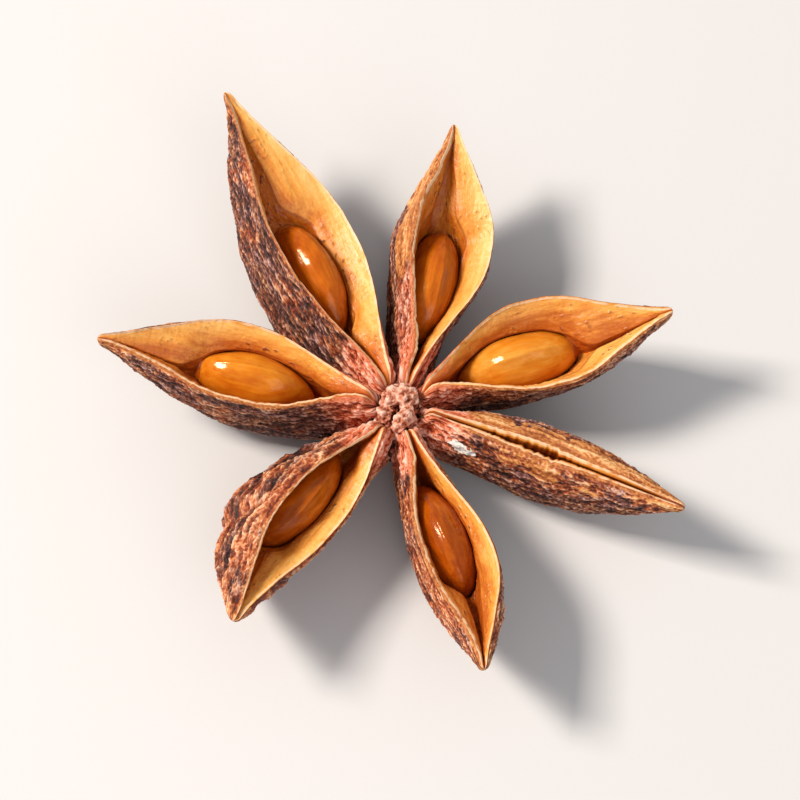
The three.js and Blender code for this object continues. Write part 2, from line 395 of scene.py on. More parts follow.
@dataclass(frozen=True)
class PolishedWall(Finish):
    """The fruit wall's hard inner lining, golden orange with a low natural polish.

    Its flat face along the split edge is pale gold, and the pocket under the fold is painted deeper
    orange as painted shade, as is the thick side's wall, with fibre lines along the carpel and
    red-brown crumbs where it holds the seed.
    """

    name: str = "fruit_inner_wall"

    def shader(self, tree: bpy.types.NodeTree) -> Socket:
        """Build the finish's nodes.

        Args:
            tree: The material's node tree.

        Returns:
            The shader.
        """
        pocket_shade, fold, lining_shade, fleck, shade, root, tip, rim = (
            add(tree, "Attribute", out="Fac", attribute_name=name)
            for name in ("pocket_shade", "fold", "lining_shade", "fleck", "tone", "root", "tip", "rim")
        )
        streak = self.grains(tree, size=0.35, stretch=9.0, detail=4.0)
        cloud = self.grains(tree, size=1.4, stretch=1.8, detail=3.0)
        fine = self.grains(tree, size=0.14, stretch=1.4)
        tone = self.weighed(tree, 0.0, (shade, 1.0), (streak, 0.55), (cloud, 0.45), (fine, 0.2))
        # Painted shade: the face and the pocket darken down the lining and on the thick side's
        # wall.
        face_tone = self.weighed(tree, -0.02, (tone, 1.0), (lining_shade, -0.3))
        face = add(tree, "ValToRGB", {"Fac": face_tone}, stops=(
            (0.22, "#bb601a"), (0.36, "#d68230"), (0.5, "#e79e44"), (0.64, "#f0b35d"),
            (0.8, "#f6c87c"),
        ))
        # The pocket's ramp is darker than the face's, as painted shade under the fold.
        pocket_tone = self.weighed(tree, 0.02, (tone, 1.0), (lining_shade, -0.3))
        pocket = add(tree, "ValToRGB", {"Fac": pocket_tone}, stops=(
            (0.15, "#8f380a"), (0.35, "#b3550f"), (0.5, "#cb7520"), (0.64, "#da8f38"),
            (0.8, "#e6a654"),
        ))
        colour = self.layered(
            tree,
            face,
            Layer(pocket, pocket_shade, 0.1, 0.9),
            Layer("#a8501f", self.weighed(tree, 0.0, (tip, 0.6), (streak, 1.0)), 0.98, 1.14, 0.6),
            Layer("#c65a20", self.weighed(tree, 0.0, (root, 1.0), (streak, 0.5)), 0.6, 1.2, 0.7),
            # Painted shade: a dark red-brown line along the fold, and down the shut carpel's slit.
            Layer("#8a3a10", self.weighed(tree, 0.0, (fold, 1.0), (fine, 0.5)), 0.75, 1.2, 0.6),
            # Red-brown crumbs, with a band of specks on the thick side that is painted shade.
            Layer("#6e2d10", self.weighed(tree, 0.0, (fleck, 1.0), (fine, 0.3)), 0.45, 0.8, 0.8),
            Layer("#f5cda4", self.weighed(tree, 0.0, (rim, 1.0), (fine, 0.5)), 0.6, 1.0, 0.95),
        )
        height = self.weighed(tree, 0.0, (fine, 1.0), (streak, 1.0), (fleck, 0.6))
        bump = add(tree, "Bump", {"Height": height, "Strength": 0.6, "Distance": 0.06 * MM})
        rough = self.weighed(tree, 0.1, (cloud, 0.35), (fine, 0.25))
        return add(tree, "BsdfPrincipled", {
            "Base Color": colour, "Roughness": rough, "Specular IOR Level": 0.45, "Normal": bump,
        })


@dataclass(frozen=True)
class SeedCoat(Finish):
    """A seed's hard coat: clear amber brown and as glossy as varnish, with faint fibre lines,
    painted lighter on top as painted light.
    """

    name: str = "glossy_seed_coat"

    def shader(self, tree: bpy.types.NodeTree) -> Socket:
        """Build the finish's nodes.

        Args:
            tree: The material's node tree.

        Returns:
            The shader.
        """
        painted_top_light, ripe = (
            add(tree, "Attribute", out="Fac", attribute_name=name) for name in ("painted_top_light", "ripe")
        )
        cloud = self.grains(tree, size=1.5, stretch=1.6, detail=3.0)
        streak = self.grains(tree, size=0.25, stretch=9.0, detail=3.0)
        fine = self.grains(tree, size=0.3, stretch=1.5)
        tone = self.weighed(tree, -0.22, (cloud, 0.5), (streak, 0.45), (painted_top_light, 0.35), (ripe, 1.0))
        colour = add(tree, "ValToRGB", {"Fac": tone}, stops=(
            (0.1, "#782804"), (0.35, "#a04606"), (0.55, "#c4650e"), (0.75, "#d9851f"),
            (1.0, "#e6a648"),
        ))
        height = self.weighed(tree, 0.0, (fine, 1.0), (streak, 0.6))
        bump = add(tree, "Bump", {"Height": height, "Strength": 0.25, "Distance": 0.05 * MM})
        return add(tree, "BsdfPrincipled", {
            "Base Color": colour,
            "Roughness": 0.13,
            "Specular IOR Level": 0.5,
            "Specular Tint": "#ffe2c4",
            "Subsurface Weight": 0.25,
            "Subsurface Radius": (1.0, 0.4, 0.1),
            "Subsurface Scale": 1.2 * MM,
            "Normal": bump,
        })


@dataclass(frozen=True)
class DryWood(Finish):
    """The column's torn, corky wood: pinkish tan on its lumps and dark red in its pits, the pits
    and the lower parts darkened as painted shade.
    """

    name: str = "dry_column_wood"

    def shader(self, tree: bpy.types.NodeTree) -> Socket:
        """Build the finish's nodes.

        Args:
            tree: The material's node tree.

        Returns:
            The shader.
        """
        crest = add(tree, "Attribute", out="Fac", attribute_name="crest")
        fine = self.grains(tree, size=0.12)
        mid = self.grains(tree, size=0.4)
        height = self.weighed(tree, -0.32, (crest, 0.8), (fine, 0.5), (mid, 0.4))
        colour = add(tree, "ValToRGB", {"Fac": height}, stops=(
            (0.12, "#2a0d08"), (0.3, "#7c3322"), (0.5, "#bb7358"), (0.66, "#dc9f87"),
            (0.85, "#efc6b4"),
        ))
        colour = self.layered(tree, colour, Layer("#c8622e", mid, 0.58, 0.7, 0.7))
        bump = add(tree, "Bump", {"Height": height, "Strength": 0.7, "Distance": 0.08 * MM})
        return add(tree, "BsdfPrincipled", {
            "Base Color": colour, "Roughness": 0.65, "Specular IOR Level": 0.35, "Normal": bump,
        })


@dataclass(frozen=True)
class PaleBoard(Finish):
    """A matt white painted board, even and without shine."""

    name: str = "matt_white_board"

    def shader(self, tree: bpy.types.NodeTree) -> Socket:
        """Build the finish's nodes and return its shader."""
        return add(tree, "BsdfPrincipled", {"Base Color": "#d9d9dc", "Roughness": 0.8})


# ---- The carpels' common shape ----


@dataclass(frozen=True)
class Carpel:
    """One carpel's own sizes, in millimetres and degrees, and the shape they give."""

    number: int
    azimuth: float  # the way it points, anticlockwise from the x axis
    reach: float  # how far out its tip is
    tip: float  # how high the split edge is at the tip
    gape: float  # how wide it is split, where that is widest
    girth: float  # how wide its belly is there
    depth: float  # how far its keel is under the split edge, where it is deepest
    roll: float  # how far its opening is turned to the anticlockwise side
    bow: float  # how far its middle bends to that side
    sway: float  # how far it winds to that side and back to the other
    widest: float  # the share of its length at which it is widest
    seed_at: float | None  # how far out its seed's middle is, or None where it is shut
    thick_side: int  # the side whose split edge is thick, 1 for the anticlockwise one, 0 for both
    blunt: float = 1.1  # over 1 where it stays deep further out
    thick_rim: float = 0.24
    thin_rim: float = 0.14
    folds: float = 0.6  # how strong the skin's broad folds are
    rust: float = 0.25  # how much of the skin is rubbed rusty
    band: float = 0.0  # width of the golden strip outside a split edge
    band_side: int = 0  # the side it is on, or 0 where there is none
    band_from: float = 0.1  # the share of the length at which it starts
    band_to: float = 1.2  # and where it ends
    pale: float = 0.0  # how pale its lining is
    flush: float = 0.9  # how much painted shade darkens the lining on the thick side, under 0 lightening it
    ripe: float = 0.0  # how much lighter and more golden its seed is coloured
    seed_side: float = 0.0  # how far its seed leans to the anticlockwise side
    crease_side: float = 0.0  # how far its crease does, as a share of the gap's half width
    # Each dent in the skin: its place along the carpel, its depth and its half width.
    dents: tuple[tuple[float, float, float], ...] = ()
    sharp: float = 0.0  # how much slimmer the beak is than the others'
    valley: float = 0.0  # how far its lips slope down to the slit between them
    seed_length: float = 7.8

    lip_height: float = 6.9  # how high the split edge is at the column
    lip_root: float = 2.0  # how far out it starts
    keel_root: float = 0.6  # how far out the keel does
    rim: float = 0.45  # half the least width across both split edges
    least_wall: float = 0.4
    slit: float = 0.12  # half the least gap between the split edges
    crease_depth: float = 0.52  # how far down the lining goes, as a share of the depth
    trough_depth: float = 0.36  # how far down the lining its fold is
    trough_width: float = 0.45  # the width under the fold, as a share of the gap at the rim
    near_width: float = 0.8  # the same on the thick side, whose face is steeper
    crease_width: float = 0.08  # the same past the seed
    beyond: float = 0.08  # and past the seed on the thin side
    pocket_start: float = 5.5  # how far before the seed's middle the pocket has its full width
    near_end: float = 2.4  # how far past it the pocket still has that, on the thick side
    near_fade: float = 2.2  # and how much further out it has closed
    far_end: float = 0.8  # the same two on the thin side
    far_fade: float = 3.2
    shallow: float = 0.62  # how deep the crease is past the seed, as a share of its full depth
    belly_height: float = 0.42  # the share of the height at which it is widest
    keel_roundness: float = 0.55  # 0.5 for a round keel, and more for a sharper one
    edge_wave: float = 0.16  # how far the split edge's slow waves rise and fall
    root_pinch: float = 0.3  # how much it is drawn in at the top of its root

    def lip_at(self, along: Array) -> Array:
        """Return the split edge's height."""
        return lerp(self.lip_height, self.tip, RISE(along))

    def depth_at(self, along: Array) -> Array:
        """Return the depth from the split edge to the keel."""
        slim = 1 - self.sharp * smoothstep(along, 0.85, 1)
        return self.depth * DEPTH(np.power(along, self.blunt)) * slim

    def out_at(self, along: Array, share: Array) -> Array:
        """Return how far out a section's point lies, at a share of the section's height."""
        root = lerp(self.keel_root, self.lip_root, smoothstep(share, 0.5, 0.95))
        return lerp(root, self.reach, along)

    def placed(self, spots: Array) -> Array:
        """Place points of the carpel's own straight frame in the pod's.

        Args:
            spots: How far out along the carpel each point lies, how far to its anticlockwise
                side, and how far under the line midway between its split edges.

        Returns:
            Their x, y and z, in millimetres.
        """
        out, across, below = np.moveaxis(spots, -1, 0)
        along = np.clip(out / self.reach, 0, 1)
        roll = math.radians(self.roll) * ROLL(along)
        bow = self.bow * np.sin(math.pi * along) + self.sway * np.sin(2 * math.pi * along)
        side = across * np.cos(roll) - below * np.sin(roll) + bow
        height = self.lip_at(along) - below * np.cos(roll) - across * np.sin(roll)
        turn = math.radians(self.azimuth)
        x = out * math.cos(turn) - side * math.sin(turn)
        y = out * math.sin(turn) + side * math.cos(turn)
        return np.stack((x, y, height), axis=-1)

    def outer_half_width(self, along: Array, share: Array) -> Array:
        """Return half the outer width at a share of the height, keel 0 and split edge 1.

        Args:
            along: Place along the carpel.
            share: Share of the height.

        Returns:
            The half width, drawn in at the top of the root, where gaps part the carpels.
        """
        place = np.power(along, math.log(0.5) / math.log(self.widest))
        pinch = (1 - smoothstep(along, 0.02, 0.2)) * smoothstep(share, 0.3, 0.6)
        slim = 1 - self.sharp * smoothstep(along, 0.8, 1)
        belly = self.girth / 2 * GIRTH(place) * (1 - self.root_pinch * pinch) * slim
        lips = np.maximum(self.gape / 2 * GAPE(place), self.rim * GIRTH(place) * slim)
        below = 1 - np.minimum(share / self.belly_height, 1)
        above = np.maximum(share - self.belly_height, 0) / (1 - self.belly_height)
        rounded = 1 - np.sqrt(np.maximum(1 - above * above, 0))
        turned = np.where(belly > lips, rounded, smoothstep(above, 0, 1))
        return np.power(1 - below * below, self.keel_roundness) * lerp(belly, lips, turned)

    def edge_grain(self, out: Array, side: Array, apart: float, shift: float) -> Array:
        """Return places in the grain for the split edges, different for each edge and carpel."""
        return np.stack((out, apart * side, 0 * out + shift * self.number), axis=-1)

    def rim_on(self, side: Array) -> Array:
        """Return the split edge's thickness on a side."""
        thick = (np.sign(side) == self.thick_side) | (self.thick_side == 0)
        return np.where(thick, self.thick_rim, self.thin_rim)

    def rim_half_width(self, along: Array, side: Array) -> Array:
        """Work out how wide the gap between the walls is at the split edge.

        Args:
            along: Place along the carpel.
            side: Which side of the carpel it is on.

        Returns:
            Half the width between the walls' inner faces.
        """
        place = self.edge_grain(along * self.reach, side, 5, 13)
        shut = self.seed_at is None
        frayed = 0.3 if shut else 0.12
        ragged = 1 + 0.2 * Grain(24, (1.2, 1, 1)).read(place)
        ragged += frayed * Grain(25, (0.35, 1, 1)).read(place)
        at_root = 1 + 0.7 * (1 - smoothstep(along, 0.06, 0.3)) * (not shut)
        at_root -= 0.12 * within(along, 0.2, 0.45, 0.06) * shut
        rim = self.rim_on(side) * ragged * at_root * (1 - 0.5 * smoothstep(along, 0.85, 1))
        return np.maximum(self.outer_half_width(along, np.ones_like(along)) - rim, self.slit)

    def groove(self, along: Array, side: Array) -> Array:
        """Work out how wide the pocket or the crease is under the lining's fold.

        Args:
            along: Place along the carpel.
            side: Which side of the carpel it is on.

        Returns:
            The width, as a share of the width at the rim.
        """
        if self.seed_at is None:
            return np.full_like(along, self.crease_width)
        near = side == self.thick_side
        start, end = self.seed_at - self.pocket_start, np.where(near, self.near_end, self.far_end)
        fade = np.where(near, self.near_fade, self.far_fade)
        seeded = within(along * self.reach, start, self.seed_at + end, fade)
        past = lerp(self.beyond, self.crease_width, smoothstep(along, 0.75, 1))
        past = np.where(near, self.crease_width, past)
        return lerp(past, np.where(near, self.near_width, self.trough_width), seeded)

    def floor(self, along: Array) -> Array:
        """Work out how deep the crease lies.

        Args:
            along: Place along the carpel.

        Returns:
            The depth, as a share of its full depth.
        """
        if self.seed_at is None:
            return np.ones_like(along)
        past = smoothstep(along * self.reach, self.seed_at + self.near_end, self.seed_at + 5.0)
        return lerp(1, self.shallow, past)

    def fold_at(self, along: Array) -> Array:
        """Return how far down the lining its fold is, 0 at the rim and 1 at the crease."""
        return self.trough_depth / self.floor(along)

    def lean(self, along: Array, side: Array, fallen: Array) -> Array:
        """Return how far the lining's crease lies off the middle, for each point on the lining.

        Args:
            along: Place along the carpel.
            side: Which side of the carpel each point is on.
            fallen: How far down the lining it is, 0 to 1.

        Returns:
            The shift to the anticlockwise side, in millimetres.
        """
        if self.seed_at is None:
            return np.zeros_like(along)
        right = np.ones_like(side)
        wide = np.minimum(self.rim_half_width(along, right), self.rim_half_width(along, -right))
        start, end = self.seed_at - 4.5, self.seed_at + self.near_end
        free = 1 - within(along * self.reach, start, end, self.near_fade)
        return self.crease_side * free * wide * smoothstep(fallen, 0, self.fold_at(along))

    def inner_half_width(self, along: Array, share: Array, span: Array, side: Array) -> Array:
        """Work out the lining, which slopes from the rim to a fold and drops into the pocket.

        Args:
            along: Place along the carpel.
            share: Share of the section's height.
            span: Place on the lining, 0 at the crease and 1 at the rim.
            side: Which side of the carpel it is on.

        Returns:
            Half the inner width.
        """
        rim, fallen, groove = self.rim_half_width(along, side), 1 - span, self.groove(along, side)
        face = rim * lerp(1, groove, fallen / self.fold_at(along))
        trough = rim * groove * np.sqrt(np.maximum(1 - fallen * fallen, 0))
        fold = 0.05
        wide = fold * np.logaddexp(face / fold, trough / fold)
        wide = np.minimum(wide, rim)
        most = self.outer_half_width(along, share) - self.least_wall * (1 - 0.5 * span**8)
        return np.maximum(np.minimum(wide, most), self.slit * span)

    def wave(self, out: Array, side: Array) -> Array:
        """Return how far the split edge lies over or under its smooth line."""
        place = self.edge_grain(out, side, 7, 17.3)
        return self.edge_wave * GAPE(out / self.reach) * Grain(11, (2.6, 2.2, 2.2)).read(place)


CARPELS = (
    Carpel(
        number=1, azimuth=79.4, reach=18.9, tip=8.3, gape=5.4, girth=4.8, depth=7.3, roll=-17,
        bow=-1.2, sway=0.15, widest=0.64, seed_at=8.9, thick_side=1, thick_rim=0.34, rust=0.3,
        band=2.4, band_side=1, band_from=0.5, band_to=0.88, ripe=-0.02, seed_side=0.3,
        crease_side=0.5, beyond=0.6, pale=0.12, dents=((11.6, -0.5, 2.6),), sharp=0.3, flush=1.3,
    ),
    Carpel(
        number=2, azimuth=18.1, reach=18.0, tip=8.4, gape=6.0, girth=4.7, depth=7.05, roll=-7,
        bow=1.05, sway=0.25, widest=0.57, seed_at=8.2, thick_side=-1, thick_rim=0.3, ripe=0.3,
        rust=0.3, seed_side=-0.25, crease_side=-0.38, pale=-0.06, flush=-0.3,
    ),
    Carpel(
        number=3, azimuth=-23.2, reach=19.2, tip=7.7, gape=1.4, girth=4.5, depth=7.0, roll=-9,
        bow=0.4, sway=0.0, widest=0.52, seed_at=None, thick_side=0, thick_rim=0.6, rust=0.35,
        band=0.9, band_side=1, band_from=0.05, slit=0.05, pale=-0.13, valley=0.3,
    ),
    Carpel(
        number=4, azimuth=-74.2, reach=19.1, tip=7.9, gape=4.4, girth=4.6, depth=7.1, roll=1,
        bow=0.6, sway=-0.3, widest=0.6, seed_at=8.8, thick_side=-1, thick_rim=0.34, rust=0.45,
        ripe=-0.16, seed_side=-0.3, crease_side=-0.1, crease_width=0.14, beyond=0.45,
        shallow=0.95, pale=-0.03, seed_length=8.2,
    ),
    Carpel(
        number=5, azimuth=-123.5, reach=18.3, tip=7.95, gape=4.1, girth=5.2, depth=7.4, roll=34,
        bow=-0.45, sway=0.2, widest=0.54, blunt=1.45, seed_at=8.3, thick_side=-1, thick_rim=0.2,
        folds=1.8, rust=0.4, ripe=-0.08, seed_side=-0.3, crease_side=-0.65, beyond=0.6,
        dents=((11.2, 0.6, 0.9), (6.2, 0.3, 0.9)), pale=0.05, seed_length=8.2,
    ),
    Carpel(
        number=6, azimuth=168.9, reach=19.3, tip=8.4, gape=5.4, girth=4.95, depth=6.95, roll=1,
        bow=-0.6, sway=0.15, widest=0.56, seed_at=9.4, thick_side=1, thick_rim=0.32, rust=0.15,
        ripe=0.17, seed_side=0.2, crease_side=0.5, pale=-0.03,
    ),
    Carpel(
        number=7, azimuth=118.6, reach=23.15, tip=9.4, gape=5.7, girth=5.5, depth=7.3, roll=-21,
        bow=-0.65, sway=0.1, widest=0.58, seed_at=10.8, thick_side=1, thick_rim=0.17, rust=0.1,
        ripe=-0.04, seed_side=0.2, crease_side=0.65, beyond=0.5, pale=0.09, sharp=0.5,
        seed_length=8.2,
    ),
)


# ---- Meshes ----


def keep(mesh: bpy.types.Mesh, name: str, numbers: Array) -> None:
    """Keep a number, or a row of three, on each vertex of a mesh.

    Args:
        mesh: The mesh.
        name: The name that its finish reads them by.
        numbers: One number or row of three for each vertex.
    """
    kind, field = ("FLOAT", "value") if numbers.ndim == 1 else ("FLOAT_VECTOR", "vector")
    layer = mesh.attributes.new(name, kind, "POINT")
    layer.data.foreach_set(field, numbers.astype(np.float32).ravel())


def rows_of(items: bpy.types.bpy_prop_collection, field: str) -> Array:
    """Read the places or the normals of a mesh's vertices.

    Args:
        items: The mesh's vertices or vertex normals.
        field: What they call their place or direction.

    Returns:
        One row of three numbers for each vertex.
    """
    flat = np.empty(3 * len(items), dtype=np.float32)
    items.foreach_get(field, flat)
    return flat.reshape(-1, 3).astype(float)


def made_of(bm: bmesh.types.BMesh, name: str) -> bpy.types.Mesh:
    """Turn a bmesh into a mesh and free it.

    Args:
        bm: The bmesh.
        name: The mesh's name.

    Returns:
        The mesh.
    """
    mesh = bpy.data.meshes.new(name)
    bm.to_mesh(mesh)
    bm.free()
    return mesh


def dressed(mesh: bpy.types.Mesh, places: Array, finishes: Sequence[Finish]) -> bpy.types.Object:
    """Give a mesh its final places and finishes, and make it an object.

    Args:
        mesh: The mesh.
        places: Its vertices' final places, in millimetres.
        finishes: Its finishes, in the order of the faces' material indices.

    Returns:
        The object, at the origin.
    """
    mesh.vertices.foreach_set("co", (places * MM).astype(np.float32).ravel())
    mesh.shade_smooth()
    mesh.update()
    for finish in finishes:
        mesh.materials.append(finish.material())
    made = bpy.data.objects.new(mesh.name, mesh)
    bpy.context.scene.collection.objects.link(made)
    return made


def stand_for(piece: bpy.types.Object, node: str) -> None:
    """Ride a piece on the pod, in place of a CAD node.

    Args:
        piece: The piece.
        node: The CAD node that it replaces.
    """
    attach(piece, "root")
    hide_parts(node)
    LOG.info("%s: %d faces, stands for %s", piece.name, len(piece.data.polygons), node)


class Zone(Enum):
    """The parts of a carpel's section, in order round it."""

    SKIN = 0
    RIGHT_RIM = 1
    LINING = 2
    LEFT_RIM = 3


@dataclass(frozen=True)
class Tube:
    """A closed tube of small faces, which every carpel's shell is shaped from."""

    stations: int = 240
    skin_steps: int = 200
    rim_steps: int = 8
    lining_steps: int = 140

    def counts(self) -> tuple[int, ...]:
        """Return how many faces each zone has round a section, in the zones' order."""
        return self.skin_steps, self.rim_steps, self.lining_steps, self.rim_steps

    def steps(self) -> int:
        """Return how many faces go round a section."""
        return sum(self.counts())

    def zones(self) -> tuple[Array, Array]:
        """Share out the columns among the zones.

        Returns:
            Each column's zone, and its place in the zone from 0 to 1.
        """
        zone = np.repeat(np.arange(4), self.counts())
        starts = np.cumsum((0, *self.counts()))
        return zone, (np.arange(self.steps()) - starts[zone]) / np.array(self.counts())[zone]

    def mesh(self) -> bpy.types.Mesh:
        """Roll a grid into a tube and close its ends with a fan of faces each.

        Returns:
            The mesh, whose vertices keep their row and column. The ends' middles are in the
            rows -1 and stations + 1.
        """
        bm = bmesh.new()
        steps, half_rim = self.steps(), self.rim_steps / 2
        for name in ("row", "column"):
            bm.verts.layers.int.new(name)
        row, column = (bm.verts.layers.int[name] for name in ("row", "column"))
        bmesh.ops.create_grid(bm, x_segments=steps, y_segments=self.stations, size=0.5)
        lined = self.skin_steps + half_rim, steps - half_rim
        for face in bm.faces:
            face.material_index = lined[0] < (face.calc_center_median().x + 0.5) * steps < lined[1]
        for vert in bm.verts:
            vert[column] = round((vert.co.x + 0.5) * steps) % steps
            vert[row] = round((vert.co.y + 0.5) * self.stations)
            turn = 2 * math.pi * vert[column] / steps
            vert.co = Vector((math.cos(turn), math.sin(turn), 2 * vert[row] / self.stations))
        bmesh.ops.remove_doubles(bm, verts=bm.verts, dist=1e-5)
        ends = [edge for edge in bm.edges if edge.is_boundary]
        caps = bmesh.ops.holes_fill(bm, edges=ends, sides=0)["faces"]
        for middle in bmesh.ops.poke(bm, faces=caps)["verts"]:
            middle[column] = 0
            middle[row] = -1 if middle.co.z < 1 else self.stations + 1
        bmesh.ops.recalc_face_normals(bm, faces=bm.faces)
        return made_of(bm, "tube")


@dataclass(frozen=True)
class Seed:
    """A flattened seed, standing on edge in its carpel's pocket."""

    carpel: Carpel
    depth: float = 4.9
    thickness: float = 3.55
    edge: float = 1.85  # how blunt its edge is, 2 being round and less being sharper
    taper: float = -0.04  # how much slimmer the outer end is than the inner one
    point: float = 0.7  # how pointed the inner end is, 0.5 being round
    gap: float = 0.02  # the room that the pocket leaves all round it
    room_below: float = 0.03  # and below it, as a share of its radius
    lift: float = 1.12  # how far its middle is over the crease
    fillet: float = 0.08  # how softly the lining turns down beside the seed

    def frame(self) -> Array:
        """Work out how the seed stands in the pod.

        Returns:
            Four columns: the directions of its length, its thickness and its height, and the
            place of its middle, in millimetres.
        """
        out = self.carpel.seed_at
        along = np.array(out / self.carpel.reach)
        below = float(self.carpel.depth_at(along)) * self.carpel.crease_depth - self.lift
        lean = self.carpel.seed_side
        spots = np.array(((out, lean, below), (out + 1, lean, below), (out, lean, below - 1)))
        middle, ahead, above = self.carpel.placed(spots)
        x_axis = (ahead - middle) / np.linalg.norm(ahead - middle)
        y_axis = np.cross(above - middle, x_axis)
        y_axis /= np.linalg.norm(y_axis)
        return np.column_stack((x_axis, y_axis, np.cross(x_axis, y_axis), middle))

    def radius(self, x: Array, y: Array, z: Array) -> Array:
        """Return how far from the long axis the seed's surface is.

        Args:
            x: Place along the seed, -1 to 1.
            y: How far across the point's direction leads, for any length.
            z: How far up it leads.

        Returns:
            The surface's distance from the axis, for a seed that is 1 in each half size.
        """
        length = np.maximum(np.hypot(y, z), TINY)
        flat = np.abs(y / length) ** self.edge + np.abs(z / length) ** self.edge
        pointed = lerp(0.5, self.point, smoothstep(-x, -0.1, 1))
        along = np.power(np.maximum(1 - x * x, 0), pointed) * (1 - self.taper * x)
        return along * flat ** (-1 / self.edge)

    def half(self) -> Array:
        """Return half the seed's length, thickness and depth."""
        return np.array((self.carpel.seed_length, self.thickness, self.depth)) / 2

    def grain_at(self, spots: Array) -> Array:
        """Return places in the grain for places in the seed's frame, different for each seed."""
        return spots + np.array((11.3 * self.carpel.number, 0, 0))

    def swell(self, spots: Array) -> Array:
        """Work out the coat's slow swells.

        Args:
            spots: Places on the seed, in its own frame.

        Returns:
            How far each place is swollen out, as a share of its distance from the long axis.
        """
        grain = self.grain_at(spots)
        broad = 0.05 * Grain(5, (2.5, 1.6, 1.6)).read(grain)
        return broad + 0.02 * Grain(6, (1.1, 0.7, 0.7)).read(grain)

    def pressed(self, places: Array) -> tuple[Array, Array]:
        """Press the seed's pocket into a carpel's lining.

        Args:
            places: Places on the lining, in millimetres.

        Returns:
            The places once pressed, and how far each was moved.
        """
        frame = self.frame()
        local = (places - frame[:, 3]) @ frame[:, :3]
        x, y, z = np.moveaxis(local / (self.half() + self.gap), -1, 0)
        now = np.hypot(y, z)
        length = np.maximum(now, TINY)
        want = np.where(np.abs(x) < 1, self.radius(np.clip(x, -1, 1), y, z), 0)
        reached = local * np.stack((np.ones_like(x), want / length, want / length), axis=-1)
        want *= 1 + self.swell(reached) + self.room_below * smoothstep(-z / length, 0, 0.6)
        soft = self.fillet
        blend = soft * np.logaddexp(now / soft, want / soft)
        size = np.where(want > 0, blend / length, 1)
        fade = smoothstep(1 - np.abs(x), 0, 0.02)
        size = 1 + (np.maximum(size, 1) - 1) * fade
        moved = local * np.stack((np.ones_like(size), size, size), axis=-1)
        return moved @ frame[:, :3].T + frame[:, 3], np.linalg.norm(moved - local, axis=-1)

    def build(self) -> bpy.types.Object:
        """Model and dress the seed.

        Returns:
            Its object.
        """
        bm = bmesh.new()
        bmesh.ops.create_uvsphere(bm, u_segments=144, v_segments=112, radius=1.0)
        turn = Matrix.Rotation(math.radians(90), 3, "Y")
        bmesh.ops.rotate(bm, verts=bm.verts, cent=(0, 0, 0), matrix=turn)
        mesh = made_of(bm, f"glossy_seed_{self.carpel.number}")
        x, y, z = rows_of(mesh.vertices, "co").T
        length = np.maximum(np.hypot(y, z), TINY)
        size = self.radius(x, y, z)
        y, z = y / length * size, z / length * size
        ridge = np.exp(-np.abs(y + 0.1 - 0.12 * x) / 0.07) * (z > 0)
        raphe = 0.05 * ridge * np.sqrt(np.maximum(1 - x * x, 0))
        spots = np.column_stack((x, y, z)) * self.half()
        grain = self.grain_at(spots)
        ribs = 0.007 * Grain(7, (3.0, 0.35, 0.35)).read(grain)
        spots[:, 1:] *= (1 + self.swell(spots) + ribs + raphe)[:, None]
        frame = self.frame()
        keep(mesh, "grain", grain)
        # Painted light: the seed's top is coloured lighter than its underside.
        keep(mesh, "painted_top_light", np.clip(0.35 + 0.45 * z, 0, 1))
        keep(mesh, "ripe", np.full(len(x), self.carpel.ripe))
        return dressed(mesh, spots @ frame[:, :3].T + frame[:, 3], (SeedCoat(),))


